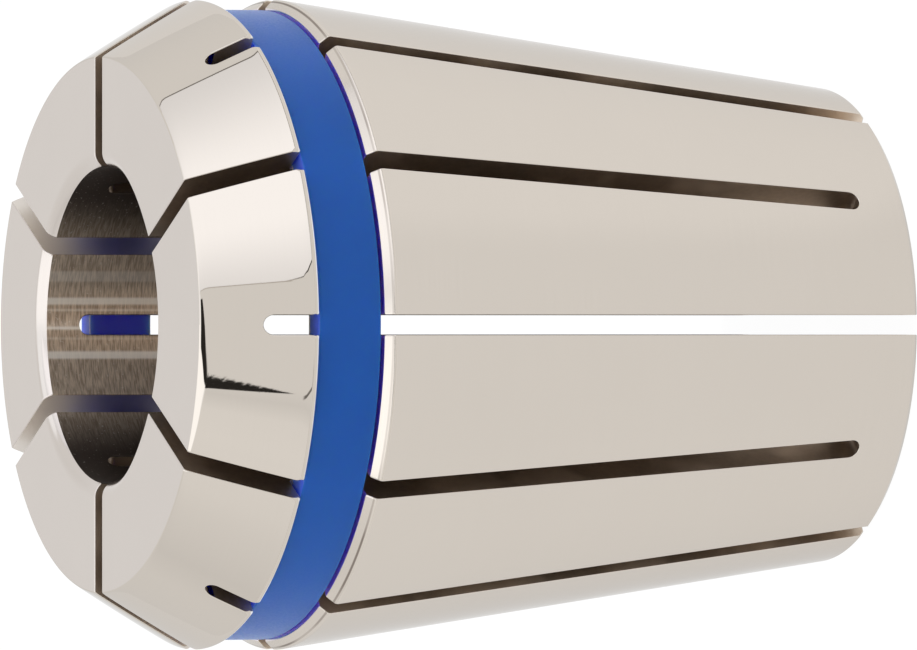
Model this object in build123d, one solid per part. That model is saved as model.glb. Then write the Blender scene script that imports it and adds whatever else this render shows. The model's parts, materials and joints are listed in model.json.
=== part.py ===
from build123d import *

import os
from math import cos, radians, tan

# A spring collet of size 32, which a nut squeezes into the tapered socket of a tool holder.
# Sizes are in millimetres. The collet stands on its small rear face: Z = 0 is that face,
# Z is the collet's axis, and the front face, where the tool goes in, looks up.

# Whole collet
COLLET_LENGTH = 40.0
LARGEST_DIAMETER = 33.0
BORE_DIAMETER = 16.0
FRONT_MOUTH_ROUND = 0.6
REAR_MOUTH_CHAMFER = 0.6

# Rear cone, which seats in the tool holder's socket
SEAT_TAPER = 8.0  # degrees to the axis
SHOULDER_CHAMFER = 0.45  # at the cone's large end, down to the groove
REAR_EDGE_CHAMFER = 0.25

# Front cone, which the nut presses on
NUT_TAPER = 30.0  # degrees to the axis
FRONT_CONE_LENGTH = 5.3
FRONT_EDGE_BREAK = 0.12
LIP_ROUND = 0.25  # at the cone's large end, behind which the nut's extractor hooks
LIP_RELIEF = 0.07  # how far the lip's rounded crest stays inside the largest diameter

# Groove between the cones
GROOVE_DEPTH = 1.85  # below the largest diameter, as a radius
GROOVE_WIDTH = 3.6

# Coloured band that grips the bottom of the groove
BAND_THICKNESS = 1.3
BAND_EDGE_CHAMFER = 0.2
BAND_FRONT_GAP = 0.1  # to the groove wall behind the lip
BAND_REAR_GAP = 0.15  # to the groove wall at the shoulder

# Slots, alternately from the front face and from the rear face
SLOTS_PER_END = 6
SLOT_WIDTH = 1.0
SLOT_WEB = 2.75  # solid length left past the end of each slot

# Worked out from the sizes above
BORE_RADIUS = BORE_DIAMETER / 2
LARGEST_RADIUS = LARGEST_DIAMETER / 2
GROOVE_RADIUS = LARGEST_RADIUS - GROOVE_DEPTH
GROOVE_FRONT = COLLET_LENGTH - FRONT_CONE_LENGTH
GROOVE_REAR = GROOVE_FRONT - GROOVE_WIDTH
SHOULDER_HEIGHT = GROOVE_REAR - SHOULDER_CHAMFER
REAR_RADIUS = LARGEST_RADIUS - SHOULDER_HEIGHT * tan(radians(SEAT_TAPER))
CREST_TO_CORNER = LIP_ROUND * (tan(radians(NUT_TAPER)) + 1 / cos(radians(NUT_TAPER)) - 1)
LIP_CORNER_RADIUS = LARGEST_RADIUS - LIP_RELIEF + CREST_TO_CORNER
FRONT_FACE_RADIUS = LIP_CORNER_RADIUS - FRONT_CONE_LENGTH * tan(radians(NUT_TAPER))
BAND_RADIUS = GROOVE_RADIUS + BAND_THICKNESS
BAND_FRONT = GROOVE_FRONT - BAND_FRONT_GAP
BAND_REAR = GROOVE_REAR + BAND_REAR_GAP
SLOT_PITCH = 360.0 / SLOTS_PER_END
FIRST_FRONT_SLOT = SLOT_PITCH / 4  # degrees from X, so the X and Y axes run midway between slots
FIRST_REAR_SLOT = FIRST_FRONT_SLOT + SLOT_PITCH / 2


def corners_at(section, *points):
    """The corners of a half section that lie nearest to the given (radius, height) points."""
    return [section.vertices().sort_by_distance((radius, 0, height))[0] for radius, height in points]


def blank():
    """The turned collet before it is slotted: bore, two cones and the groove between them."""
    outline = Polyline(
        (BORE_RADIUS, 0),
        (REAR_RADIUS, 0),
        (LARGEST_RADIUS, SHOULDER_HEIGHT),
        (LARGEST_RADIUS - SHOULDER_CHAMFER, GROOVE_REAR),
        (GROOVE_RADIUS, GROOVE_REAR),
        (GROOVE_RADIUS, GROOVE_FRONT),
        (LIP_CORNER_RADIUS, GROOVE_FRONT),
        (FRONT_FACE_RADIUS, COLLET_LENGTH),
        (BORE_RADIUS, COLLET_LENGTH),
        close=True,
    )
    section = Plane.XZ * make_face(outline)
    section = chamfer(corners_at(section, (FRONT_FACE_RADIUS, COLLET_LENGTH)), FRONT_EDGE_BREAK)
    section = chamfer(corners_at(section, (REAR_RADIUS, 0)), REAR_EDGE_CHAMFER)
    section = chamfer(corners_at(section, (BORE_RADIUS, 0)), REAR_MOUTH_CHAMFER)
    section = fillet(corners_at(section, (BORE_RADIUS, COLLET_LENGTH)), FRONT_MOUTH_ROUND)
    section = fillet(corners_at(section, (LIP_CORNER_RADIUS, GROOVE_FRONT)), LIP_ROUND)
    return revolve(section, Axis.Z)


def slot_cutter():
    """A radial slot along +X, open at the rear face, with a round end under the front web."""
    round_centre = COLLET_LENGTH - SLOT_WEB - SLOT_WIDTH / 2
    overrun = SLOT_WIDTH
    start = BORE_RADIUS / 2
    reach = LARGEST_RADIUS + overrun
    straight = Pos(0, (round_centre - overrun) / 2) * Rectangle(SLOT_WIDTH, round_centre + overrun)
    profile = straight + Pos(0, round_centre) * Circle(SLOT_WIDTH / 2)
    return extrude(Plane.YZ.offset(start) * profile, reach - start)


def collet_body():
    """Spring steel body: the blank with its two sets of slots, half a pitch apart."""
    from_rear = slot_cutter()
    from_front = mirror(from_rear, Plane.XY.offset(COLLET_LENGTH / 2))
    turns = [SLOT_PITCH * index for index in range(SLOTS_PER_END)]
    front_slots = [Rot(0, 0, FIRST_FRONT_SLOT + turn) * from_front for turn in turns]
    rear_slots = [Rot(0, 0, FIRST_REAR_SLOT + turn) * from_rear for turn in turns]
    return blank() - front_slots - rear_slots


def groove_band():
    """Closed band that grips the bottom of the groove and bridges the slots."""
    centre = Pos((BAND_RADIUS + GROOVE_RADIUS) / 2, (BAND_REAR + BAND_FRONT) / 2)
    section = Plane.XZ * centre * Rectangle(BAND_THICKNESS, BAND_FRONT - BAND_REAR)
    outer_corners = corners_at(section, (BAND_RADIUS, BAND_REAR), (BAND_RADIUS, BAND_FRONT))
    return revolve(chamfer(outer_corners, BAND_EDGE_CHAMFER), Axis.Z)


os.makedirs("parts", exist_ok=True)
export_step(collet_body(), "parts/collet_body.step")
export_step(groove_band(), "parts/groove_band.step")
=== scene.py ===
import json
from math import asin, atan2, cos, degrees, hypot, pi, radians, sin, tan

import bmesh
import bpy
from mathutils import Matrix, Vector


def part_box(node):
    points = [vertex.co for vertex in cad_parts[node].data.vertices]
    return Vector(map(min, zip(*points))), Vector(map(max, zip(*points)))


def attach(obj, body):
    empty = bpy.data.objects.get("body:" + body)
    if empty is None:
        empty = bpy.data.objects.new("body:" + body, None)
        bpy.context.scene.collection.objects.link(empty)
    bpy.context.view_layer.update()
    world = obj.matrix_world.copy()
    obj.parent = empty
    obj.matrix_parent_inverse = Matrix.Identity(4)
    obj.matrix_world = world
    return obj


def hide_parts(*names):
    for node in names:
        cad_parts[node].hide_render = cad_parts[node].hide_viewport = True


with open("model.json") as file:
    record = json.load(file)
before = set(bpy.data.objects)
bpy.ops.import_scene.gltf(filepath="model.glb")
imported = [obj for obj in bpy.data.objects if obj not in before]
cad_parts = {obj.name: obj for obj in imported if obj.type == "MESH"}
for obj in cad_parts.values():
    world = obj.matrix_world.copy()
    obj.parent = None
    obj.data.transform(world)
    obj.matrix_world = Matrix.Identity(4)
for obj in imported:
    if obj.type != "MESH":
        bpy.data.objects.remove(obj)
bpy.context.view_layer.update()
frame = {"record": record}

# Sizes are in millimetres until a mesh is made; MM turns them into Blender's metres.
# Angles are in degrees.
MM = 0.001

# Sizes read from the frame
BODY_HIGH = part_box("collet_body")[1]
BAND_LOW, BAND_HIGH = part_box("groove_band")
TOOL_BORE = next(m for m in frame["record"]["mounts"] if m["name"] == "tool_bore")
LENGTH = BODY_HIGH.z / MM
LARGEST_RADIUS = BODY_HIGH.x / MM
BORE_RADIUS = TOOL_BORE["dims"]["r_mm"]
BAND_RADIUS = BAND_HIGH.x / MM
BAND_REAR = BAND_LOW.z / MM
BAND_FRONT = BAND_HIGH.z / MM

# Rear cone, which seats in the holder
SEAT_TAPER = 8.0
SHOULDER_CHAMFER = 0.45
CHAMFER_SLANT = 45.0
SHOULDER_ROUND = 0.3
REAR_EDGE_CHAMFER = 0.25
REAR_MOUTH_CHAMFER = 0.6

# Groove between the cones, and the rounds on the outer edges of the band in it
GROOVE_DEPTH = 1.85
GROOVE_WIDTH = 3.6
NUT_CONE_LENGTH = 5.3
BAND_REAR_EASE = 0.08
BAND_FRONT_EASE = 0.15

# Front cone, slightly crowned by its polish, so that it rolls off towards both of its edges
NUT_TAPER = 30.0
LIP_RELIEF = 0.07
LIP_ROUND = 0.22
ROLL_OFF_RADIUS = 4.0
ROLL_OFF_TURN = 5.0
EASE_RADIUS = 12.0
EASE_TURN = 1.0
CROWN_TURN = 2.0
FACE_EDGE_ROUND = 0.1

# Round of the bore's mouth: full on one side and slight on the side that faces it
MOUTH_ROUND = 0.87
MOUTH_TURN = 55.0
MOUTH_FULL_SIDE = 105.0
MOUTH_FULL_WITHIN = 100.0
MOUTH_SLIGHT_PAST = 145.0
MOUTH_LEAST_SHARE = 0.1

# Slots
FINGERS = 6
SLOT_HALF = 0.5
SLOT_WEB = 2.75
SLOT_END_LEAN = 0.58
SLOT_EDGE = 0.05
CORNER_EDGE = 0.2
CORNER_REACH = 0.3
FIRST_FRONT_SLOT = 15.0
FIRST_REAR_SLOT = FIRST_FRONT_SLOT + 180.0 / FINGERS

# Worked out from the sizes above
GROOVE_RADIUS = LARGEST_RADIUS - GROOVE_DEPTH
LIP_HEIGHT = LENGTH - NUT_CONE_LENGTH
GROOVE_REAR = LIP_HEIGHT - GROOVE_WIDTH
SHOULDER_HEIGHT = GROOVE_REAR - SHOULDER_CHAMFER
REAR_RADIUS = LARGEST_RADIUS - SHOULDER_HEIGHT * tan(radians(SEAT_TAPER))
LOW_ROUND_CENTRE = SLOT_WEB + SLOT_HALF
HIGH_ROUND_CENTRE = LENGTH - SLOT_WEB - SLOT_HALF
HALF_FINGER = 180.0 / FINGERS

# How finely the meshes are divided
COLUMNS = 30
COLUMN_EASE = 0.006
ROUND_STEPS = 8
EDGE_STEPS = 3
SHOULDER_STEPS = 6
LIP_STEPS = 8
ROLL_OFF_STEPS = 8
EASE_STEPS = 4
CROWN_STEPS = 24
FACE_EDGE_STEPS = 4
MOUTH_STEPS = 8
BAND_EASE_STEPS = 5
BAND_TURNS = 288

# Short runs beside the rounds, which keep their shading off the straight stretches
SHADING_RUN = 0.04
BAND_SIDE_RUN = 0.05
BAND_FACE_RUN = 0.1

# Corners that turn more than this are shaded as sharp lines
SHARP_TURN = 32.0

# Slot wall points that have turned this far from a slot's end lie on its flat
FLAT_TURN = 89.9

# Lengths that count as nothing: between two levels, and between points that are merged
TOLERANCE = 1e-4
SEAM = 0.001

# Finishes, as numbers that the faces carry until their materials are set
SEAT, NUT, FACE, BORE, SLOT, GROOVE = range(6)

# The camera looks at the middle of the collet's axis, along one pair of rear slots
CAMERA_TURN = FIRST_REAR_SLOT - 120.0
CAMERA_RISE = 23.316
CAMERA_DISTANCE = 682.1
CAMERA_SHIFT = (0.197, 0.008)
FOCAL_PIXELS = 13369.0
IMAGE_WIDTH = 917
SENSOR_WIDTH = 36.0


# ---------------------------------------------------------------- profile of the turned body


class Profile:
    """A half section walked from the rear mouth round the outside and back down the bore."""

    def __init__(self, radius, height):
        self.points = [(radius, height)]
        self.finishes = []
        self.heading = 0.0

    def line(self, length, finish):
        """One step in the present heading."""
        radius, height = self.points[-1]
        run = radians(self.heading)
        self.points.append((radius + length * cos(run), height + length * sin(run)))
        self.finishes.append(finish)

    def line_to(self, radius, height, finish):
        """A straight stretch with a short run at each end."""
        start = self.points[-1]
        across, up = radius - start[0], height - start[1]
        length = hypot(across, up)
        self.heading = degrees(atan2(up, across))
        run = min(SHADING_RUN, length / 4)
        self.line(run, finish)
        self.line(length - 2 * run, finish)
        self.line(run, finish)

    def arc(self, radius, turn, finish, steps):
        """Turns left by an angle, on an arc of the given radius."""
        half_step = turn / steps / 2
        chord = 2 * radius * sin(radians(half_step))
        for _ in range(steps):
            self.heading += half_step
            self.line(chord, finish)
            self.heading += half_step


def seat_cone(profile):
    """The rear face, the long cone and the rounded shoulder above it."""
    slope = tan(radians(SEAT_TAPER))
    profile.line_to(BORE_RADIUS + REAR_MOUTH_CHAMFER, 0.0, FACE)
    profile.line_to(REAR_RADIUS - REAR_EDGE_CHAMFER, 0.0, FACE)
    profile.line_to(REAR_RADIUS + REAR_EDGE_CHAMFER * slope, REAR_EDGE_CHAMFER, SEAT)
    shoulder_turn = CHAMFER_SLANT + SEAT_TAPER
    rounded = SHOULDER_ROUND * tan(radians(shoulder_turn / 2)) * cos(radians(SEAT_TAPER))
    for height in (LOW_ROUND_CENTRE + SLOT_EDGE, SHOULDER_HEIGHT - rounded):
        profile.line_to(REAR_RADIUS + height * slope, height, SEAT)
    profile.arc(SHOULDER_ROUND, shoulder_turn, SEAT, SHOULDER_STEPS)
    profile.line_to(LARGEST_RADIUS - SHOULDER_CHAMFER, GROOVE_REAR, SEAT)


def groove_between(profile):
    """The groove between the cones, up to the start of the lip's round."""
    profile.line_to(GROOVE_RADIUS, GROOVE_REAR, GROOVE)
    profile.line_to(GROOVE_RADIUS, LIP_HEIGHT, GROOVE)
    profile.line_to(LARGEST_RADIUS - LIP_RELIEF - LIP_ROUND, LIP_HEIGHT, GROOVE)
    profile.heading = 0.0


def nut_cone(profile, crown_radius):
    """Lip, rolled-off cone and the edge of the front face, from the groove's wall."""
    flank = 90.0 + NUT_TAPER
    half_flank_turn = ROLL_OFF_TURN + CROWN_TURN / 2
    profile.arc(LIP_ROUND, flank - half_flank_turn, NUT, LIP_STEPS)
    profile.arc(ROLL_OFF_RADIUS, ROLL_OFF_TURN - EASE_TURN, NUT, ROLL_OFF_STEPS)
    profile.arc(EASE_RADIUS, EASE_TURN, NUT, EASE_STEPS)
    profile.arc(crown_radius, CROWN_TURN, NUT, CROWN_STEPS)
    profile.arc(EASE_RADIUS, EASE_TURN, NUT, EASE_STEPS)
    profile.arc(ROLL_OFF_RADIUS, ROLL_OFF_TURN - EASE_TURN, NUT, ROLL_OFF_STEPS)
    profile.arc(FACE_EDGE_ROUND, 180.0 - flank - half_flank_turn, NUT, FACE_EDGE_STEPS)


def crown_that_fits():
    """The radius of the cone's slight crown, at which the walk ends level with the front face."""
    small, large = 100.0, 200.0
    heights = []
    for trial in (small, large):
        walk = Profile(0.0, LIP_HEIGHT)
        nut_cone(walk, trial)
        heights.append(walk.points[-1][1])
    return small + (large - small) * (LENGTH - heights[0]) / (heights[1] - heights[0])


def mouth_and_bore(profile):
    """The front face, the mouth's round and the bore."""
    profile.line_to(BORE_RADIUS + MOUTH_ROUND * sin(radians(MOUTH_TURN)), LENGTH, FACE)
    profile.heading = 180.0
    profile.arc(MOUTH_ROUND, MOUTH_TURN, FACE, MOUTH_STEPS)
    low_centre, high_centre = round_centres(in_bore=True)
    for height in (high_centre - SLOT_EDGE, low_centre + SLOT_EDGE, REAR_MOUTH_CHAMFER):
        profile.line_to(BORE_RADIUS, height, BORE)


def body_profile():
    """The whole closed half section."""
    profile = Profile(BORE_RADIUS, REAR_MOUTH_CHAMFER)
    seat_cone(profile)
    groove_between(profile)
    nut_cone(profile, crown_that_fits())
    mouth_and_bore(profile)
    return profile


def round_centres(in_bore):
    """Heights of the rounded slot ends' centres; the cutter's lean leaves them further apart in the bore."""
    lean = SLOT_END_LEAN if in_bore else 0.0
    return LOW_ROUND_CENTRE - lean, HIGH_ROUND_CENTRE + lean


def with_slot_rounds(profile):
    """Adds the heights at which the rounded slot ends are divided, on the outside and in the bore."""
    reach = SLOT_HALF + SLOT_EDGE
    rises = [reach * cos(radians(90.0 * step / ROUND_STEPS)) for step in range(ROUND_STEPS)]
    points = [profile.points[0]]
    finishes = []
    for end, finish in zip(profile.points[1:], profile.finishes):
        start = points[-1]
        if finish in (SEAT, NUT, BORE):
            low_centre, high_centre = round_centres(finish == BORE)
            levels = [low_centre - rise for rise in rises] + [high_centre + rise for rise in rises]
            low, high = sorted((start[1], end[1]))
            between = [level for level in levels if low + TOLERANCE < level < high - TOLERANCE]
            for height in sorted(between, reverse=end[1] < start[1]):
                part = (height - start[1]) / (end[1] - start[1])
                points.append((start[0] + part * (end[0] - start[0]), height))
                finishes.append(finish)
        points.append(end)
        finishes.append(finish)
    return points[:-1], finishes


# ---------------------------------------------------------------- half a finger


def eased(share):
    """A share between 0 and 1, slowed at both ends."""
    return share * share * (3 - 2 * share)


class Row:
    """One point of the profile, with what the skin and the slot walls need to know there."""

    def __init__(self, before, point, after, finish):
        self.radius, self.height = point
        self.finish = finish
        turn_in = Vector((point[0] - before[0], point[1] - before[1])).normalized()
        turn_out = Vector((after[0] - point[0], after[1] - point[1])).normalized()
        self.sharp = turn_in.angle(turn_out) > radians(SHARP_TURN)
        along = (turn_in + turn_out).normalized()
        self.normal = Vector((along.y, -along.x))
        self.along = along if along.y >= 0 else -along
        crest_radius, crest_height = LARGEST_RADIUS - LIP_RELIEF, LIP_HEIGHT + LIP_ROUND
        from_crest = hypot(self.radius - crest_radius, self.height - crest_height)
        nearness = max(0.0, 1.0 - from_crest / CORNER_REACH)
        self.edge = SLOT_EDGE + (CORNER_EDGE - SLOT_EDGE) * eased(nearness)

    def slot_sides(self):
        """What slot_side gives for the front slot and for the rear slot."""
        low_centre, high_centre = round_centres(self.radius < BORE_RADIUS + TOLERANCE)
        return self.slot_side(low_centre - self.height), self.slot_side(self.height - high_centre)

    def slot_side(self, past):
        """Half width of the skin's cut and the angle from the slot's very end, or None past that end.

        The distance is measured from the centre of the slot's rounded end, away from its open end.
        """
        if past <= TOLERANCE:
            return SLOT_HALF + self.edge, 90.0
        reach = SLOT_HALF + SLOT_EDGE
        if past > reach + TOLERANCE:
            return None
        offset = max(0.0, reach * reach - past * past) ** 0.5
        return offset, degrees(asin(offset / reach))

    def rounded_edge(self, side, upward):
        """Points of the eased slot edge inside the skin, as (radius, height, offset)."""
        offset, turn = side
        sweep, rise = sin(radians(turn)), cos(radians(turn))
        for step in range(1, EDGE_STEPS + 1):
            lean = radians(90.0 * step / EDGE_STEPS)
            depth = self.edge * (1 - cos(lean))
            reach = self.edge * sin(lean)
            radius = self.radius - depth * self.normal.x + reach * rise * upward * self.along.x
            height = self.height - depth * self.normal.y + reach * rise * upward * self.along.y
            yield radius, height, offset - reach * sweep


def place(radius, height, turn):
    """A point from its radius, height and angle round the axis."""
    return Vector((radius * cos(radians(turn)), radius * sin(radians(turn)), height)) * MM


def column_shares():
    """Where the columns stand between two slots, closer together beside the slots."""
    across = 1 - 2 * COLUMN_EASE
    return [0.0] + [COLUMN_EASE + across * step / COLUMNS for step in range(COLUMNS + 1)] + [1.0]


def skin_row(mesh, row, front_side, rear_side):
    """The skin's points at one row, from the front slot to the rear slot."""
    front, rear = [degrees(asin(side[0] / row.radius)) if side else 0.0 for side in (front_side, rear_side)]
    span = HALF_FINGER - rear - front
    turns = [front + span * share for share in column_shares()]
    return [mesh.verts.new(place(row.radius, row.height, turn)) for turn in turns]


def slot_edge(mesh, row, border, side, upward):
    """The angle from a slot's very end and the points of its eased edge at one row, or None past that end."""
    if not side:
        return None
    edge = [border]
    for radius, height, offset in row.rounded_edge(side, upward):
        turn = degrees(asin(max(0.0, offset) / radius))
        turn = turn if upward > 0 else HALF_FINGER - turn
        edge.append(mesh.verts.new(place(radius, height, turn)))
    return side[1], edge


def half_finger():
    """The skin and slot walls between the middles of a front slot and a rear slot."""
    points, finishes = with_slot_rounds(body_profile())
    before, after = points[-1:] + points[:-1], points[1:] + points[:1]
    rows = [Row(*around) for around in zip(before, points, after, finishes)]
    mesh = bmesh.new()
    finish_layer = mesh.faces.layers.int.new("finish")
    skin, front_slot, rear_slot = [], [], []
    for row in rows:
        front_side, rear_side = row.slot_sides()
        skin.append(skin_row(mesh, row, front_side, rear_side))
        front_slot.append(slot_edge(mesh, row, skin[-1][0], front_side, 1))
        rear_slot.append(slot_edge(mesh, row, skin[-1][-1], rear_side, -1))
    skin_faces(mesh, finish_layer, rows, skin)
    slot_walls(mesh, finish_layer, rows, front_slot)
    slot_walls(mesh, finish_layer, rows, rear_slot)
    return mesh


def skin_faces(mesh, finish_layer, rows, skin):
    """The skin's faces, with sharp lines where the profile turns sharply."""
    for row, here, there in zip(rows, skin, skin[1:] + skin[:1]):
        for column in range(len(here) - 1):
            corners = (here[column], here[column + 1], there[column + 1], there[column])
            mesh.faces.new(corners)[finish_layer] = row.finish
            if row.sharp:
                mesh.edges.get(corners[:2]).smooth = False


def slot_walls(mesh, finish_layer, rows, edges):
    """The eased edges, the flat wall and the rounded end wall of one side of a slot."""
    for row, here, there in zip(rows, edges, edges[1:] + edges[:1]):
        if here and there:
            for step in range(EDGE_STEPS):
                corners = (here[1][step], here[1][step + 1], there[1][step + 1], there[1][step])
                mesh.faces.new(corners)[finish_layer] = row.finish
    start = next(i for i in range(len(edges)) if edges[i] and not edges[i - 1])
    run = [edge for edge in edges[start:] + edges[:start] if edge]
    flat = [points[-1] for turn, points in run if turn > FLAT_TURN]
    mesh.faces.new(flat)[finish_layer] = SLOT
    wall = [points[-1] for turn, points in run]
    outer, inner = wall[: ROUND_STEPS + 1], wall[::-1][: ROUND_STEPS + 1]
    for step in range(ROUND_STEPS):
        corners = (outer[step], outer[step + 1], inner[step + 1], inner[step])
        mesh.faces.new(corners)[finish_layer] = SLOT
    for first, second in zip(wall, wall[1:]):
        rim = mesh.edges.get((first, second))
        if rim:
            rim.smooth = False


# ---------------------------------------------------------------- node helpers


def add(tree, kind, inputs=None, **settings):
    """A node with its settings and its input values or links, which are given by name or number."""
    node = tree.nodes.new(kind)
    for name, value in settings.items():
        setattr(node, name, value)
    for name, value in (inputs or {}).items():
        fill(tree, node.inputs[name], value)
    return node


def fill(tree, socket, value):
    """Gives a socket a link or a value; a colour without its alpha gets a full one."""
    if isinstance(value, bpy.types.NodeSocket):
        tree.links.new(value, socket)
    elif socket.type == "RGBA":
        socket.default_value = (*value, 1.0)
    else:
        socket.default_value = value


def sum_of(tree, operation, *values):
    """The result of one Math node."""
    return add(tree, "ShaderNodeMath", dict(enumerate(values)), operation=operation).outputs[0]


def product(tree, *factors):
    """The factors multiplied one after another."""
    result = factors[0]
    for factor in factors[1:]:
        result = sum_of(tree, "MULTIPLY", result, factor)
    return result


def less(tree, value, other):
    """The first value less the second."""
    return sum_of(tree, "SUBTRACT", value, other)


def mapped(tree, value, low, high, from_value, to_value, kind):
    """A value carried from one range to another."""
    inputs = {"Value": value, "From Min": low, "From Max": high, "To Min": from_value, "To Max": to_value}
    return add(tree, "ShaderNodeMapRange", inputs, interpolation_type=kind).outputs["Result"]


def ramp(tree, value, low, high, from_value=0.0, to_value=1.0):
    """A smooth step between two levels of a value."""
    return mapped(tree, value, low, high, from_value, to_value, "SMOOTHSTEP")


def straight(tree, value, start, end):
    """A level that runs straight between two (value, level) points and stays even beyond them."""
    return mapped(tree, value, start[0], end[0], start[1], end[1], "LINEAR")


def band(tree, value, low, high, soft):
    """1 between two levels of a value and 0 outside them, with soft sides."""
    rising = ramp(tree, value, low - soft, low + soft)
    falling = ramp(tree, value, high - soft, high + soft, 1.0, 0.0)
    return product(tree, rising, falling)


def blend_colours(tree, factor, first, second, mode="MIX"):
    """Mixes two colours by a factor."""
    node = add(tree, "ShaderNodeMix", data_type="RGBA", blend_type=mode)
    for number, value in ((0, factor), (6, first), (7, second)):
        fill(tree, node.inputs[number], value)
    return node.outputs[2]


# ---------------------------------------------------------------- finishes

# Nearly all of a noise's values lie between these
NOISE_LOW, NOISE_HIGH = 0.3, 0.7

# How fine a noise is round the axis and along it, per metre
GRINDING_LINES = (300.0, 14000.0)
BORE_SCRATCHES = (1600.0, 13000.0)
SAW_MARKS = (4000.0, 4000.0)

# How large patches and grains are, in metres
STEEL_PATCHES = 0.006
BORE_PATCHES = 0.003
BORE_SPECKS = 0.00014
SLOT_PATCHES = 0.004
PLASTIC_PATCHES = 0.004
PLASTIC_GRAIN = 0.00012
PAPER_GRAIN = 0.002

# Steel tones
SEAT_TONE = (0.663, 0.606, 0.543)
NUT_TONE = (0.625, 0.572, 0.512)
FACE_TONE = (0.620, 0.569, 0.528)
GROOVE_TONE = (0.80, 0.74, 0.76)
ROUGHNESS_SPREAD = 0.15
PATCH_SHARE = 0.5

# Thin painted lines: a painted dark reflection at the shoulder and a painted highlight at the lip: heights from
# and to, tone
SHOULDER_PAINTED_REFLECTION = (SHOULDER_HEIGHT + 0.08, SHOULDER_HEIGHT + 0.16, (0.25, 0.21, 0.18))
LIP_PAINTED_HIGHLIGHT = (LIP_HEIGHT - 0.1, LIP_HEIGHT + 0.15, (0.86, 0.90, 0.98))
LINE_SOFT = 0.02
# The painted lines break up in patches
PAINTED_LINE_BREAKUP = (0.4, 0.6, 0.35, 1.0)  # noise levels from and to, strengths from and to

# Bore: honed steel, with painted reflections as bright lines near the mouth's full side and painted shade on
# two sides
BORE_DARK_TONE = (0.40, 0.305, 0.225)
BORE_BRIGHT_TONE = (0.80, 0.66, 0.52)
BORE_PATCH_TONE = (0.42, 0.33, 0.25)
BORE_PATCH_SHARE = 0.3
# Painted reflections in the bore: the tone of their bright lines and the softness of their sides
BORE_PAINTED_REFLECTION_TONE = (1.0, 0.95, 0.87)
PAINTED_REFLECTION_SOFT = 0.6
# Painted shade on the bore's two sides: its tone, and the degrees off the mouth's full side where it starts and
# is full
BORE_PAINTED_SHADE_TONE = (0.085, 0.068, 0.058)
PAINTED_SHADE_STARTS = 24.0
PAINTED_SHADE_FULL = 58.0
SPECK_TONE = (0.90, 0.86, 0.80)
SPECK_LEVELS = (0.67, 0.75)
SPECK_STRENGTH = 0.35

# Painted reflections, as bright lines in the bore: degrees from the mouth's full side, half width, strength
PAINTED_REFLECTION_LINES = (
    (-8.7, 1.3, 0.8),
    (-5.4, 0.3, 0.6),
    (1.2, 0.5, 0.8),
    (5.0, 0.4, 0.3),
    (11.1, 1.4, 0.8),
    (-18.0, 2.0, 0.3),
)

# Slot walls: brown, but with painted light that makes them bright within some degrees of the mouth's full side
SAWN_DARK_TONE = (0.41, 0.33, 0.26)
SAWN_BRIGHT_TONE = (0.58, 0.48, 0.38)
SAWN_PATCH_TONE = (0.74, 0.63, 0.52)
SAWN_PATCH_LEVELS = (0.45, 0.65)
SLOT_PAINTED_LIGHT_WITHIN = 45.0
SLOT_PAINTED_LIGHT_SOFT = 4.0
SLOT_PAINTED_LIGHT_DEEP_TONE, SLOT_PAINTED_LIGHT_DEEP_HEIGHT = (0.64, 0.62, 0.75), 36.0
SLOT_PAINTED_LIGHT_FACE_TONE, SLOT_PAINTED_LIGHT_FACE_HEIGHT = (0.88, 0.82, 0.75), 39.2
SLOT_PAINTED_LIGHT_BORE_RADIUS = 10.0
SLOT_PAINTED_LIGHT_RIM_TONE, SLOT_PAINTED_LIGHT_RIM_RADIUS = (0.58, 0.54, 0.50), 16.0

# Blue plastic of the band; its side walls and underside carry painted light and its inner wall a painted
# reflection, in tones of their own
PLASTIC_DARK_TONE = (0.004, 0.080, 0.350)
PLASTIC_BRIGHT_TONE = (0.006, 0.095, 0.400)
PLASTIC_PAINTED_LIGHT_SIDE_TONE, PLASTIC_SIDE_DEPTHS = (0.06, 0.12, 0.60), (0.02, 0.06)
PLASTIC_PAINTED_LIGHT_UNDERSIDE_TONE, PLASTIC_REAR_RISES = (0.35, 0.25, 0.85), (0.015, 0.005)
PLASTIC_PAINTED_REFLECTION_INNER_TONE, PLASTIC_INNER_DEPTHS = (0.40, 0.42, 0.60), (0.2, 0.1)


def fresh_material(name):
    """An empty node material with its tree."""
    material = bpy.data.materials.new(name)
    material.use_nodes = True
    material.node_tree.nodes.clear()
    return material, material.node_tree


def surfaced(material, inputs):
    """Ends a material with its shader."""
    tree = material.node_tree
    shader = add(tree, "ShaderNodeBsdfPrincipled", inputs)
    add(tree, "ShaderNodeOutputMaterial", {"Surface": shader.outputs[0]})
    return material


def relief(tree, grain, strength, height):
    """The bump of a grain, with its height in metres."""
    inputs = {"Strength": strength, "Distance": height, "Height": grain}
    return add(tree, "ShaderNodeBump", inputs).outputs[0]


def here(tree):
    """The place on the piece, in metres from the collet's rear face."""
    return add(tree, "ShaderNodeTexCoord").outputs["Object"]


def streaks(tree, around, along, detail=3.0):
    """Noise drawn out round the collet's axis, as grinding and turning leave it."""
    inputs = {"Vector": here(tree), "Scale": (around, around, along)}
    stretched = add(tree, "ShaderNodeMapping", inputs).outputs["Vector"]
    inputs = {"Vector": stretched, "Scale": 1.0, "Detail": detail}
    return add(tree, "ShaderNodeTexNoise", inputs).outputs["Fac"]


def clouds(tree, size, detail=2.0):
    """Soft even noise, with patches of about this size in metres."""
    inputs = {"Vector": here(tree), "Scale": 1.0 / size, "Detail": detail}
    return add(tree, "ShaderNodeTexNoise", inputs).outputs["Fac"]


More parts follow.
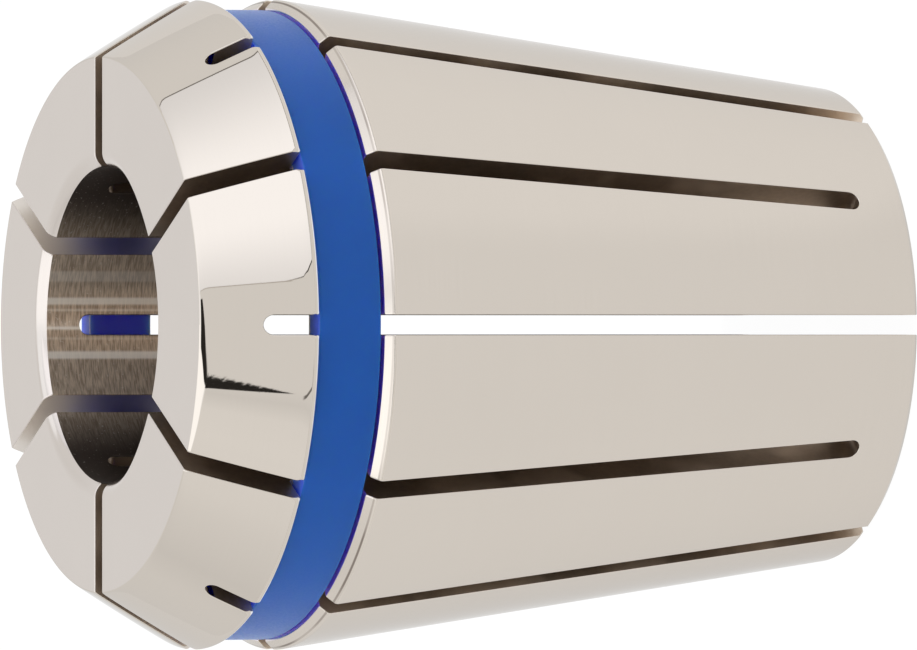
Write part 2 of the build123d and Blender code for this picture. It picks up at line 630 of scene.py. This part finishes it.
def place_in_millimetres(tree):
    """How far from the axis and how high a place is."""
    part = add(tree, "ShaderNodeSeparateXYZ", {"Vector": here(tree)}).outputs
    flat = add(tree, "ShaderNodeCombineXYZ", {"X": part["X"], "Y": part["Y"]}).outputs[0]
    radius = add(tree, "ShaderNodeVectorMath", {0: flat}, operation="LENGTH").outputs["Value"]
    return sum_of(tree, "DIVIDE", radius, MM), sum_of(tree, "DIVIDE", part["Z"], MM)


def angle_and_height(tree, toward, start):
    """The angle of a place or direction round the axis, from the given start, and its height."""
    inputs = {"Vector": toward, "Axis": (0.0, 0.0, 1.0), "Angle": -radians(start)}
    turned = add(tree, "ShaderNodeVectorRotate", inputs, rotation_type="AXIS_ANGLE").outputs[0]
    part = add(tree, "ShaderNodeSeparateXYZ", {"Vector": turned}).outputs
    return sum_of(tree, "DEGREES", sum_of(tree, "ARCTAN2", part["Y"], part["X"])), part["Z"]


def steel(name, tone, roughness, line_height, line_strength, shade=0.04, edge=0.8, painted_lines=()):
    """Worked steel: a warm grey metal whose fine lines run round the axis, with painted lines of light and
    shade on it.
    """
    material, tree = fresh_material(name)
    lines = streaks(tree, *GRINDING_LINES)
    patches = clouds(tree, STEEL_PATCHES)
    darker = tuple(channel * (1 - shade) for channel in tone)
    colour = blend_colours(tree, lines, darker, tone)
    colour = blend_colours(tree, product(tree, patches, PATCH_SHARE), colour, darker)
    # Painted lines of light and shade between two heights, broken up in patches
    for low, high, painted_tone in painted_lines:
        height = place_in_millimetres(tree)[1]
        breakup = ramp(tree, patches, *PAINTED_LINE_BREAKUP)
        painted_line = product(tree, band(tree, height, low, high, LINE_SOFT), breakup)
        colour = blend_colours(tree, painted_line, colour, painted_tone)
    smoothest, roughest = roughness * (1 - ROUGHNESS_SPREAD), roughness * (1 + ROUGHNESS_SPREAD)
    inputs = {
        "Base Color": colour,
        "Metallic": 1.0,
        "Roughness": ramp(tree, patches, NOISE_LOW, NOISE_HIGH, smoothest, roughest),
        "Specular Tint": (edge, edge, edge),
        "Normal": relief(tree, lines, line_strength, line_height),
    }
    return surfaced(material, inputs)


def honed_bore():
    """The bore: scratched round the axis, with painted reflections as bright lines, and painted shade on two
    sides.
    """
    material, tree = fresh_material("bore_honed")
    scratches = streaks(tree, *BORE_SCRATCHES, detail=2.0)
    rubbed = ramp(tree, scratches, NOISE_LOW, NOISE_HIGH)
    tone = blend_colours(tree, rubbed, BORE_DARK_TONE, BORE_BRIGHT_TONE)
    patches = product(tree, clouds(tree, BORE_PATCHES), BORE_PATCH_SHARE)
    tone = blend_colours(tree, patches, tone, BORE_PATCH_TONE)
    side = angle_and_height(tree, here(tree), MOUTH_FULL_SIDE)[0]
    # Painted reflections: bright lines along the bore at given angles
    for angle, half_width, strength in PAINTED_REFLECTION_LINES:
        line = band(tree, side, angle - half_width, angle + half_width, PAINTED_REFLECTION_SOFT)
        tone = blend_colours(tree, product(tree, line, strength), tone, BORE_PAINTED_REFLECTION_TONE)
    # Painted shade, darkest on the two sides halfway between the mouth's full side and the side that faces it
    beside = sum_of(tree, "ABSOLUTE", sum_of(tree, "SINE", sum_of(tree, "RADIANS", side)))
    painted_shade = ramp(tree, beside, sin(radians(PAINTED_SHADE_STARTS)), sin(radians(PAINTED_SHADE_FULL)))
    tone = blend_colours(tree, painted_shade, tone, BORE_PAINTED_SHADE_TONE)
    specks = ramp(tree, clouds(tree, BORE_SPECKS, detail=1.0), *SPECK_LEVELS, 0.0, SPECK_STRENGTH)
    inputs = {
        "Base Color": blend_colours(tree, specks, tone, SPECK_TONE),
        "Metallic": 1.0,
        "Roughness": 0.31,
        "Normal": relief(tree, scratches, strength=0.5, height=0.000004),
        "Tangent": add(tree, "ShaderNodeTangent", direction_type="RADIAL", axis="Z").outputs[0],
        "Anisotropic": 1.0,
        "Anisotropic Rotation": 0.25,
    }
    return surfaced(material, inputs)


def sawn_slots():
    """The slot walls: sawn brown steel, with painted light in the slots beside the bore mouth's full side."""
    material, tree = fresh_material("slot_sawn")
    grain = streaks(tree, *SAW_MARKS)
    brown = blend_colours(tree, grain, SAWN_DARK_TONE, SAWN_BRIGHT_TONE)
    patches = ramp(tree, clouds(tree, SLOT_PATCHES), *SAWN_PATCH_LEVELS)
    brown = blend_colours(tree, patches, brown, SAWN_PATCH_TONE)
    side = angle_and_height(tree, here(tree), MOUTH_FULL_SIDE)[0]
    radius, height = place_in_millimetres(tree)
    # Painted light: brighter towards the front face and out towards the rim, only within some degrees of the
    # mouth's full side
    up_to_face = ramp(tree, height, SLOT_PAINTED_LIGHT_DEEP_HEIGHT, SLOT_PAINTED_LIGHT_FACE_HEIGHT)
    bright = blend_colours(tree, up_to_face, SLOT_PAINTED_LIGHT_DEEP_TONE, SLOT_PAINTED_LIGHT_FACE_TONE)
    out_to_rim = ramp(tree, radius, SLOT_PAINTED_LIGHT_BORE_RADIUS, SLOT_PAINTED_LIGHT_RIM_RADIUS)
    bright = blend_colours(tree, out_to_rim, bright, SLOT_PAINTED_LIGHT_RIM_TONE)
    painted_slot_light = band(tree, side, -SLOT_PAINTED_LIGHT_WITHIN, SLOT_PAINTED_LIGHT_WITHIN, SLOT_PAINTED_LIGHT_SOFT)
    inputs = {
        "Base Color": blend_colours(tree, painted_slot_light, brown, bright),
        "Metallic": 1.0,
        "Roughness": 0.38,
        "Normal": relief(tree, grain, strength=0.25, height=0.00001),
    }
    return surfaced(material, inputs)


def band_plastic():
    """Blue moulded plastic with a satin skin, with painted light on its side walls and underside and a painted
    reflection on its inner wall.
    """
    material, tree = fresh_material("band_plastic")
    grain = clouds(tree, PLASTIC_GRAIN, detail=3.0)
    tone = blend_colours(tree, clouds(tree, PLASTIC_PATCHES), PLASTIC_DARK_TONE, PLASTIC_BRIGHT_TONE)
    radius, height = place_in_millimetres(tree)
    on_side = ramp(tree, radius, *(BAND_RADIUS - depth for depth in PLASTIC_SIDE_DEPTHS))
    on_underside = ramp(tree, height, *(BAND_REAR + rise for rise in PLASTIC_REAR_RISES))
    on_inner_wall = ramp(tree, radius, *(GROOVE_RADIUS + depth for depth in PLASTIC_INNER_DEPTHS))
    # Painted light on the side walls and the underside, and a painted reflection on the inner wall
    tone = blend_colours(tree, on_side, tone, PLASTIC_PAINTED_LIGHT_SIDE_TONE)
    tone = blend_colours(tree, on_underside, tone, PLASTIC_PAINTED_LIGHT_UNDERSIDE_TONE)
    tone = blend_colours(tree, on_inner_wall, tone, PLASTIC_PAINTED_REFLECTION_INNER_TONE)
    inputs = {
        "Base Color": tone,
        "Roughness": ramp(tree, grain, NOISE_LOW, NOISE_HIGH, 0.36, 0.46),
        "IOR": 1.34,
        "Normal": relief(tree, grain, strength=0.12, height=0.00002),
        "Sheen Weight": 0.16,
        "Sheen Roughness": 0.3,
        "Subsurface Weight": 1.0,
        "Subsurface Radius": (0.2, 0.4, 1.2),
        "Subsurface Scale": 2.5 * MM,
    }
    return surfaced(material, inputs)


def body_finishes():
    """The finishes of the steel body, in the order of their numbers."""
    seat = {"roughness": 0.16, "line_height": 0.000002, "line_strength": 0.10}
    nut = {"roughness": 0.022, "line_height": 0.000001, "line_strength": 0.01, "shade": 0.02}
    face = {"roughness": 0.14, "line_height": 0.000001, "line_strength": 0.05, "edge": 1.0}
    groove = {"roughness": 0.15, "line_height": 0.00001, "line_strength": 0.2, "shade": 0.1}
    return [
        steel("seat_ground", SEAT_TONE, **seat, painted_lines=(SHOULDER_PAINTED_REFLECTION,)),
        steel("nut_cone_polished", NUT_TONE, **nut, painted_lines=(LIP_PAINTED_HIGHLIGHT,)),
        steel("face_lapped", FACE_TONE, **face),
        honed_bore(),
        sawn_slots(),
        steel("groove_turned", GROOVE_TONE, **groove),
    ]


# ---------------------------------------------------------------- the slotted body


def fingers_tree(finishes):
    """Mirrors half a finger, repeats it round the axis, joins the seams and sets the finishes."""
    tree = bpy.data.node_groups.new("fingers_round_the_axis", "GeometryNodeTree")
    face = tree.interface
    face.new_socket("Half finger", in_out="INPUT", socket_type="NodeSocketGeometry")
    face.new_socket("Fingers", in_out="INPUT", socket_type="NodeSocketInt")
    face.new_socket("First slot", in_out="INPUT", socket_type="NodeSocketFloat")
    face.new_socket("Seam", in_out="INPUT", socket_type="NodeSocketFloat")
    face.new_socket("Body", in_out="OUTPUT", socket_type="NodeSocketGeometry")
    given = tree.nodes.new("NodeGroupInput")
    half = given.outputs["Half finger"]
    mirrored = add(tree, "GeometryNodeTransform", {"Geometry": half, "Scale": (1.0, -1.0, 1.0)}).outputs[0]
    turned_out = add(tree, "GeometryNodeFlipFaces", {"Mesh": mirrored}).outputs[0]
    whole = tree.nodes.new("GeometryNodeJoinGeometry")
    tree.links.new(half, whole.inputs[0])
    tree.links.new(turned_out, whole.inputs[0])
    places = add(tree, "GeometryNodePoints", {"Count": given.outputs["Fingers"]}).outputs[0]
    pitch = sum_of(tree, "DIVIDE", 2 * pi, given.outputs["Fingers"])
    index = tree.nodes.new("GeometryNodeInputIndex").outputs[0]
    angle = sum_of(tree, "MULTIPLY_ADD", index, pitch, given.outputs["First slot"])
    turn = add(tree, "ShaderNodeCombineXYZ", {"Z": angle}).outputs[0]
    inputs = {"Points": places, "Instance": whole.outputs[0], "Rotation": turn}
    repeated = add(tree, "GeometryNodeInstanceOnPoints", inputs).outputs[0]
    real = add(tree, "GeometryNodeRealizeInstances", {"Geometry": repeated}).outputs[0]
    inputs = {"Geometry": real, "Distance": given.outputs["Seam"]}
    body = add(tree, "GeometryNodeMergeByDistance", inputs).outputs[0]
    body = with_finishes(tree, body, finishes)
    add(tree, "NodeGroupOutput", {"Body": body})
    return tree


def with_finishes(tree, body, finishes):
    """Sets each finish on the faces that carry its number."""
    finish = add(tree, "GeometryNodeInputNamedAttribute", {"Name": "finish"}, data_type="INT").outputs[0]
    for number, material in enumerate(finishes):
        inputs = {2: finish, 3: number}
        chosen = add(tree, "FunctionNodeCompare", inputs, data_type="INT", operation="EQUAL").outputs[0]
        inputs = {"Geometry": body, "Selection": chosen, "Material": material}
        body = add(tree, "GeometryNodeSetMaterial", inputs).outputs[0]
    return body


def grown(piece, tree, values):
    """Runs a geometry tree on a piece and keeps the result as its plain mesh."""
    modifier = piece.modifiers.new("grow", "NODES")
    modifier.node_group = tree
    for socket in tree.interface.items_tree:
        if socket.in_out == "INPUT" and socket.name in values:
            modifier[socket.identifier] = values[socket.name]
    depsgraph = bpy.context.evaluated_depsgraph_get()
    mesh = bpy.data.meshes.new_from_object(piece.evaluated_get(depsgraph))
    piece.modifiers.remove(modifier)
    piece.data = mesh


def new_piece(name, mesh):
    """A piece at the origin from a bmesh, with smooth faces."""
    data = bpy.data.meshes.new(name)
    mesh.to_mesh(data)
    mesh.free()
    data.shade_smooth()
    piece = bpy.data.objects.new(name, data)
    bpy.context.scene.collection.objects.link(piece)
    return piece


def ease_mouth(mesh):
    """Leaves the bore mouth's round full on one side and slight on the other, as hand polishing does."""
    low = (LENGTH - MOUTH_ROUND / 2) * MM
    bore = BORE_RADIUS * MM
    widest = (BORE_RADIUS + MOUTH_ROUND) * MM
    least, most = cos(radians(MOUTH_SLIGHT_PAST)), cos(radians(MOUTH_FULL_WITHIN))
    for vert in mesh.verts:
        radius = hypot(vert.co.x, vert.co.y)
        if vert.co.z > low and bore < radius < widest:
            turn = atan2(vert.co.y, vert.co.x) - radians(MOUTH_FULL_SIDE)
            fullness = min(1.0, max(0.0, (cos(turn) - least) / (most - least)))
            share = MOUTH_LEAST_SHARE + (1 - MOUTH_LEAST_SHARE) * eased(fullness)
            moved = (bore + (radius - bore) * share) / radius
            vert.co.x *= moved
            vert.co.y *= moved


def slotted_body():
    """The steel body with its fingers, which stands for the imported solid."""
    finishes = body_finishes()
    piece = new_piece("spring_body", half_finger())
    values = {"Fingers": FINGERS, "First slot": radians(FIRST_FRONT_SLOT), "Seam": SEAM * MM}
    grown(piece, fingers_tree(finishes), values)
    outward = bmesh.new()
    outward.from_mesh(piece.data)
    ease_mouth(outward)
    bmesh.ops.recalc_face_normals(outward, faces=outward.faces)
    outward.to_mesh(piece.data)
    outward.free()
    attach(piece, "root")
    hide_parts("collet_body")


# ---------------------------------------------------------------- the band


def band_corner(height, ease, start):
    """The round of one outer edge, about a centre at this height, from a start angle."""
    points = []
    for step in range(BAND_EASE_STEPS + 1):
        lean = radians(start + 90.0 * step / BAND_EASE_STEPS)
        points.append((BAND_RADIUS - ease + ease * cos(lean), height + ease * sin(lean)))
    return points


def band_section():
    """The band's section, from the inner rear corner round the outside, as (radius, height) points."""
    low_centre, high_centre = BAND_REAR + BAND_REAR_EASE, BAND_FRONT - BAND_FRONT_EASE
    section = [(GROOVE_RADIUS, BAND_REAR), (GROOVE_RADIUS + BAND_FACE_RUN, BAND_REAR)]
    section += band_corner(low_centre, BAND_REAR_EASE, -90.0)
    section += [(BAND_RADIUS, low_centre + BAND_SIDE_RUN), (BAND_RADIUS, high_centre - BAND_SIDE_RUN)]
    section += band_corner(high_centre, BAND_FRONT_EASE, 0.0)
    return section + [(GROOVE_RADIUS + BAND_FACE_RUN, BAND_FRONT), (GROOVE_RADIUS, BAND_FRONT)]


def groove_band():
    """The closed blue band, turned from its section with eased edges."""
    section = band_section()
    mesh = bmesh.new()
    rings = []
    for turn in range(BAND_TURNS):
        rings.append([mesh.verts.new(place(r, z, 360.0 * turn / BAND_TURNS)) for r, z in section])
    for near, far in zip(rings, rings[1:] + rings[:1]):
        for index in range(len(section)):
            following = (index + 1) % len(section)
            mesh.faces.new((near[index], far[index], far[following], near[following]))
    for near, far in zip(rings, rings[1:] + rings[:1]):
        for index in (0, -1):
            mesh.edges.get((near[index], far[index])).smooth = False
    bmesh.ops.recalc_face_normals(mesh, faces=mesh.faces)
    piece = new_piece("blue_band", mesh)
    piece.data.materials.append(band_plastic())
    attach(piece, "root")
    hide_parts("groove_band")


# ---------------------------------------------------------------- studio

# Light tent. Sides are degrees round the collet from the camera, rises are degrees up from the floor.
WHITE = (1.0, 1.0, 1.0)

# Tent walls: how bright they are at each side
WALL_LEVELS = (
    (-180, 1.0),
    (-123, 0.97),
    (-109, 0.90),
    (-85, 0.99),
    (-75, 1.04),
    (-50, 1.08),
    (-38, 1.06),
    (-31, 0.93),
    (-25, 1.0),
    (95, 0.99),
    (115, 1.0),
    (132, 0.99),
    (150, 0.97),
    (180, 1.0),
)
LOW_WALL_SIDE = 95.0
LOW_WALL_SOFT = 10.0
LOW_WALL_RISES = (14.0, 8.0)
LOW_WALL_TONE = (0.93, 0.93, 0.91)

# Soft panel: sides, the rises of its foot at both sides, and its frame
PANEL_LEFT, PANEL_LEFT_FOOT = 17.2, 24.6
PANEL_RIGHT, PANEL_RIGHT_FOOT = 108.1, 7.0
PANEL_SOFT = 0.2
PANEL_FOOT_SOFT = 0.3
PANEL_TONE = (1.0, 1.02, 1.07)
PANEL_BRIGHTENS = (12.0, 45.0, 1.18, 1.52)  # sides from and to, levels from and to
PANEL_FADES = (62.0, 112.0, 1.0, 0.72)
CORNER_SIDES = (PANEL_LEFT + 8.0, PANEL_LEFT + 1.6)
CORNER_RISE = 10.0
LAST_CORNER_SIDES = (PANEL_LEFT + 1.8, PANEL_LEFT)
LAST_CORNER_RISE = 1.0
FRAME_LEFT_WIDTH = 0.35
FRAME_RIGHT_WIDTH = 0.5
FRAME_SOFT = 0.15
FRAME_HEIGHT = 2.0
FRAME_THINS_AT = (30.5, 34.6)
FRAME_THINNEST = 0.12
FRAME_TONE = (0.05, 0.045, 0.04)
FRAME_TOP_TONE = (0.55, 0.52, 0.48)
FRAME_TOP_RISES = (34.5, 35.6)
FRAME_RIGHT_TONE = (0.16, 0.145, 0.13)
FRAME_RIGHT_SIDES = (PANEL_RIGHT - 8.0, PANEL_RIGHT)

# Dark gap under the overhead light, and the ragged seam at its end
GAP_LEFT, GAP_LEFT_FOOT = -28.5, 38.3
GAP_RIGHT, GAP_RIGHT_FOOT = 13.0, 46.0
GAP_SOFT = 0.4
GAP_TONE = (0.03, 0.028, 0.026)
SEAM_WIDTH = 6.0
SEAM_HIGH, SEAM_HIGH_SIDE = 38.7, -29.3
SEAM_LOW, SEAM_LOW_SIDE = 34.4, -26.6
SEAM_SOFT = 0.2
SEAM_END_SOFT = 0.1
TEETH_PER_DEGREE = 9.0
TEETH_LEAST = 1.2
TEETH_GROW = 1.3

# Overhead light: the rise of its edge runs straight from one side to the other
OVERHEAD_LEFT = 39.3
OVERHEAD_RIGHT = 51.0
OVERHEAD_LEVELS_AT = -7.0
OVERHEAD_SOFT = 0.6
OVERHEAD_END = -30.0
OVERHEAD_END_SOFT = 2.0
OVERHEAD_LEFT_TONE = (1.60, 1.63, 1.67)
OVERHEAD_RIGHT_TONE = (1.36, 1.40, 1.45)
OVERHEAD_TURNS_WITHIN = 20.0

# Thin dark crease where the tent's walls meet
CREASE_TOP_SIDE, CREASE_TOP = -28.0, 34.0
CREASE_BEND_SIDE, CREASE_LOW = -20.0, 21.0
CREASE_FADES_AT = (-9.0, -18.0)
CREASE_STARTS_OVER = 0.6
CREASE_TOP_FADES = (0.2, 1.6)
CREASE_HALF_WIDTH = 1.2
CREASE_SOFT = 0.5
CREASE_STRENGTH = 0.85
CREASE_TONE = (0.10, 0.09, 0.08)

# Floor: how bright it looks in the steel, near the collet and further off, in metres
FLOOR_HALF = 2.0
FLOOR_SQUARES = 8
FLOOR_NEAR, FLOOR_NEAR_LEVEL = 0.08, 0.92
FLOOR_FAR, FLOOR_FAR_LEVEL = 0.20, 0.96
# Painted light: the floor glows brighter on the soft panel's side, as the steel sees it
FLOOR_PAINTED_LIGHT_SIDES = (24.0, 40.0)
FLOOR_PAINTED_LIGHT = 1.07
FLOOR_SEEN_LEVEL = 0.97
FLOOR_SHADED_TONE = (0.05, 0.05, 0.05)
PAPER_DARK_TONE = (0.80, 0.79, 0.78)
PAPER_BRIGHT_TONE = (0.84, 0.83, 0.82)


def camera_axes():
    """The directions to the right, up and back of a camera rolled so that the collet's front is on its left."""
    rise, turn = radians(CAMERA_RISE), radians(CAMERA_TURN)
    axis = Vector((0.0, 0.0, 1.0))
    outward = Vector((cos(turn), sin(turn), 0.0))
    right = -cos(rise) * axis + sin(rise) * outward
    up = axis.cross(outward)
    back = sin(rise) * axis + cos(rise) * outward
    return right, up, back


def camera():
    """A long lens that looks down on the standing collet."""
    right, up, back = camera_axes()
    middle = Vector((0.0, 0.0, LENGTH / 2))
    spot = (middle + CAMERA_DISTANCE * back - CAMERA_SHIFT[0] * right - CAMERA_SHIFT[1] * up) * MM
    data = bpy.data.cameras.new("camera")
    data.sensor_fit = "HORIZONTAL"
    data.sensor_width = SENSOR_WIDTH
    data.lens = FOCAL_PIXELS * SENSOR_WIDTH / IMAGE_WIDTH
    seen = bpy.data.objects.new("camera", data)
    turned = Matrix((right, up, back)).transposed().to_4x4()
    seen.matrix_world = Matrix.Translation(spot) @ turned
    bpy.context.scene.collection.objects.link(seen)
    bpy.context.scene.camera = seen


def studio_light():
    """A light tent: pale walls, a large soft panel beside the camera, and light from above."""
    world = bpy.data.worlds.new("studio")
    bpy.context.scene.world = world
    world.use_nodes = True
    tree = world.node_tree
    tree.nodes.clear()
    toward = add(tree, "ShaderNodeTexCoord").outputs["Generated"]
    side, height = angle_and_height(tree, toward, CAMERA_TURN)
    rise = sum_of(tree, "DEGREES", sum_of(tree, "ARCSINE", height))
    overhead = straight(tree, side, (GAP_LEFT, OVERHEAD_LEFT), (OVERHEAD_LEVELS_AT, OVERHEAD_RIGHT))
    colour = tent_walls(tree, side, rise)
    colour = overhead_light(tree, colour, toward, side, less(tree, rise, overhead))
    colour = soft_panel(tree, colour, side, rise)
    colour = dark_gap(tree, colour, side, rise, less(tree, rise, overhead))
    colour = wall_crease(tree, colour, side, rise)
    seen = add(tree, "ShaderNodeLightPath").outputs["Is Camera Ray"]
    colour = blend_colours(tree, seen, colour, WHITE)
    light = add(tree, "ShaderNodeBackground", {"Color": colour, "Strength": 1.0})
    add(tree, "ShaderNodeOutputWorld", {"Surface": light.outputs[0]})


def tent_walls(tree, side, rise):
    """The tent's walls, by the side they stand on, and a little darker near the floor."""
    share = sum_of(tree, "DIVIDE", sum_of(tree, "ADD", side, 180.0), 360.0)
    levels = add(tree, "ShaderNodeValToRGB", {0: share})
    stops = levels.color_ramp.elements
    while len(stops) < len(WALL_LEVELS):
        stops.new(0.5)
    for stop, (angle, level) in zip(stops, WALL_LEVELS):
        stop.position = (angle + 180.0) / 360.0
        stop.color = (level, level, level, 1.0)
    below = ramp(tree, rise, *LOW_WALL_RISES)
    low_wall = product(tree, band(tree, side, -LOW_WALL_SIDE, LOW_WALL_SIDE, LOW_WALL_SOFT), below)
    return blend_colours(tree, low_wall, levels.outputs[0], LOW_WALL_TONE)


def overhead_light(tree, colour, toward, side, above_edge):
    """The light above, whose end is set by the direction halfway between the light and the camera."""
    back = camera_axes()[2]
    halfway = add(tree, "ShaderNodeVectorMath", {0: toward, 1: back}, operation="ADD").outputs[0]
    halfway_side = angle_and_height(tree, halfway, CAMERA_TURN)[0]
    end = ramp(tree, halfway_side, OVERHEAD_END - OVERHEAD_END_SOFT, OVERHEAD_END + OVERHEAD_END_SOFT)
    above = product(tree, ramp(tree, above_edge, -OVERHEAD_SOFT, OVERHEAD_SOFT), end)
    to_the_right = ramp(tree, side, -OVERHEAD_TURNS_WITHIN, OVERHEAD_TURNS_WITHIN)
    bright = blend_colours(tree, to_the_right, OVERHEAD_LEFT_TONE, OVERHEAD_RIGHT_TONE)
    return blend_colours(tree, above, colour, bright)


def above_panel_foot(tree, side, rise):
    """How far a place lies above the panel's foot, which curves up into its one rounded corner."""
    foot = straight(tree, side, (PANEL_LEFT, PANEL_LEFT_FOOT), (PANEL_RIGHT, PANEL_RIGHT_FOOT))
    corner = ramp(tree, side, *CORNER_SIDES, 0.0, CORNER_RISE)
    start, end = LAST_CORNER_SIDES
    last_corner = straight(tree, side, (start, 0.0), (end, LAST_CORNER_RISE))
    lift = sum_of(tree, "ADD", corner, last_corner)
    above = less(tree, rise, sum_of(tree, "ADD", foot, lift))
    return sum_of(tree, "DIVIDE", above, ramp(tree, rise, *FRAME_THINS_AT, 1.0, FRAME_THINNEST))


def soft_panel(tree, colour, side, rise):
    """The bright panel beside the camera, with its thin dark frame and one rounded corner."""
    above = above_panel_foot(tree, side, rise)
    outside = band(tree, side, PANEL_LEFT - FRAME_LEFT_WIDTH, PANEL_RIGHT + FRAME_RIGHT_WIDTH, FRAME_SOFT)
    inside = band(tree, side, PANEL_LEFT, PANEL_RIGHT, PANEL_SOFT)
    over_frame = ramp(tree, above, -FRAME_HEIGHT - PANEL_FOOT_SOFT, -FRAME_HEIGHT + PANEL_FOOT_SOFT)
    frame_mask = product(tree, outside, over_frame)
    panel_mask = product(tree, inside, ramp(tree, above, -PANEL_FOOT_SOFT, PANEL_FOOT_SOFT))
    frame_tone = blend_colours(tree, ramp(tree, rise, *FRAME_TOP_RISES), FRAME_TONE, FRAME_TOP_TONE)
    frame_tone = blend_colours(tree, ramp(tree, side, *FRAME_RIGHT_SIDES), frame_tone, FRAME_RIGHT_TONE)
    strength = product(tree, ramp(tree, side, *PANEL_BRIGHTENS), ramp(tree, side, *PANEL_FADES))
    bright = blend_colours(tree, 1.0, PANEL_TONE, strength, "MULTIPLY")
    colour = blend_colours(tree, frame_mask, colour, frame_tone)
    return blend_colours(tree, panel_mask, colour, bright)


def dark_gap(tree, colour, side, rise, above_edge):
    """The dark gap under the overhead light and the ragged seam that hangs from its end."""
    gap_foot = straight(tree, side, (GAP_LEFT, GAP_LEFT_FOOT), (GAP_RIGHT, GAP_RIGHT_FOOT))
    under = ramp(tree, above_edge, GAP_SOFT, -GAP_SOFT)
    over = ramp(tree, less(tree, rise, gap_foot), -GAP_SOFT, GAP_SOFT)
    gap = product(tree, band(tree, side, GAP_LEFT, GAP_RIGHT, GAP_SOFT), product(tree, under, over))
    seam = ragged_seam(tree, side, rise)
    return blend_colours(tree, sum_of(tree, "MAXIMUM", gap, seam), colour, GAP_TONE)


def ragged_seam(tree, side, rise):
    """Where the seam is: a wedge that narrows downward, with a toothed side."""
    width = straight(tree, rise, (SEAM_LOW, 0.0), (SEAM_HIGH, SEAM_WIDTH))
    ragged_at = add(tree, "ShaderNodeCombineXYZ", {"X": rise}).outputs[0]
    inputs = {"Vector": ragged_at, "Scale": TEETH_PER_DEGREE, "Detail": 1.0}
    ragged = add(tree, "ShaderNodeTexNoise", inputs).outputs["Fac"]
    tooth_length = sum_of(tree, "MULTIPLY_ADD", width, TEETH_GROW, TEETH_LEAST)
    teeth = product(tree, less(tree, ragged, 0.5), tooth_length)
    seam_side = straight(tree, rise, (SEAM_LOW, SEAM_LOW_SIDE), (SEAM_HIGH, SEAM_HIGH_SIDE))
    into_seam = less(tree, side, seam_side)
    to_teeth = less(tree, sum_of(tree, "ADD", width, teeth), into_seam)
    after_start = ramp(tree, into_seam, -SEAM_SOFT, SEAM_SOFT)
    seam = product(tree, after_start, ramp(tree, to_teeth, -SEAM_SOFT, SEAM_SOFT))
    return product(tree, seam, band(tree, rise, SEAM_LOW, OVERHEAD_LEFT, SEAM_END_SOFT))


def wall_crease(tree, colour, side, rise):
    """The thin dark crease where the walls meet, which bends up under the dark gap's end."""
    bend = straight(tree, side, (CREASE_TOP_SIDE, CREASE_TOP), (CREASE_BEND_SIDE, CREASE_LOW))
    near = band(tree, less(tree, rise, bend), -CREASE_HALF_WIDTH, CREASE_HALF_WIDTH, CREASE_SOFT)
    started = ramp(tree, side, CREASE_TOP_SIDE - CREASE_STARTS_OVER, CREASE_TOP_SIDE)
    fade_from, fade_to = CREASE_TOP_FADES
    below_top = ramp(tree, rise, CREASE_TOP - fade_from, CREASE_TOP - fade_to)
    reach = product(tree, started, ramp(tree, side, *CREASE_FADES_AT), below_top)
    strength = product(tree, product(tree, near, reach), CREASE_STRENGTH)
    return blend_colours(tree, strength, colour, CREASE_TONE)


def floor():
    """A white floor that looks white to the camera and in the steel, and keeps a soft shadow."""
    mesh = bmesh.new()
    bmesh.ops.create_grid(mesh, x_segments=FLOOR_SQUARES, y_segments=FLOOR_SQUARES, size=FLOOR_HALF)
    piece = new_piece("floor", mesh)
    material, tree = fresh_material("floor_paper")
    tone = blend_colours(tree, clouds(tree, PAPER_GRAIN), PAPER_DARK_TONE, PAPER_BRIGHT_TONE)
    paper = add(tree, "ShaderNodeBsdfDiffuse", {"Color": tone}).outputs[0]
    shaded = add(tree, "ShaderNodeBsdfDiffuse", {"Color": FLOOR_SHADED_TONE}).outputs[0]
    path = add(tree, "ShaderNodeLightPath").outputs
    level = floor_level(tree, path["Is Camera Ray"])
    glow = add(tree, "ShaderNodeEmission", {"Color": WHITE, "Strength": level}).outputs[0]
    white = add(tree, "ShaderNodeAddShader", {0: shaded, 1: glow}).outputs[0]
    shown = sum_of(tree, "MAXIMUM", path["Is Camera Ray"], path["Is Glossy Ray"])
    shown = sum_of(tree, "MAXIMUM", shown, path["Is Transmission Ray"])
    mix = add(tree, "ShaderNodeMixShader", {0: shown, 1: paper, 2: white})
    add(tree, "ShaderNodeOutputMaterial", {"Surface": mix.outputs[0]})
    piece.data.materials.append(material)


def floor_level(tree, seen):
    """How bright the floor looks to the camera, and by its place in what the steel reflects, with painted light
    on the soft panel's side.
    """
    where = here(tree)
    away = add(tree, "ShaderNodeVectorMath", {0: where}, operation="LENGTH").outputs["Value"]
    by_distance = ramp(tree, away, FLOOR_NEAR, FLOOR_FAR, FLOOR_NEAR_LEVEL, FLOOR_FAR_LEVEL)
    side = angle_and_height(tree, where, CAMERA_TURN)[0]
    mirrored = product(tree, by_distance, ramp(tree, side, *FLOOR_PAINTED_LIGHT_SIDES, 1.0, FLOOR_PAINTED_LIGHT))
    return add(tree, "ShaderNodeMix", {0: seen, 2: mirrored, 3: FLOOR_SEEN_LEVEL}).outputs[0]


camera()
slotted_body()
groove_band()
studio_light()
floor()
bpy.context.scene.view_settings.view_transform = "Standard"
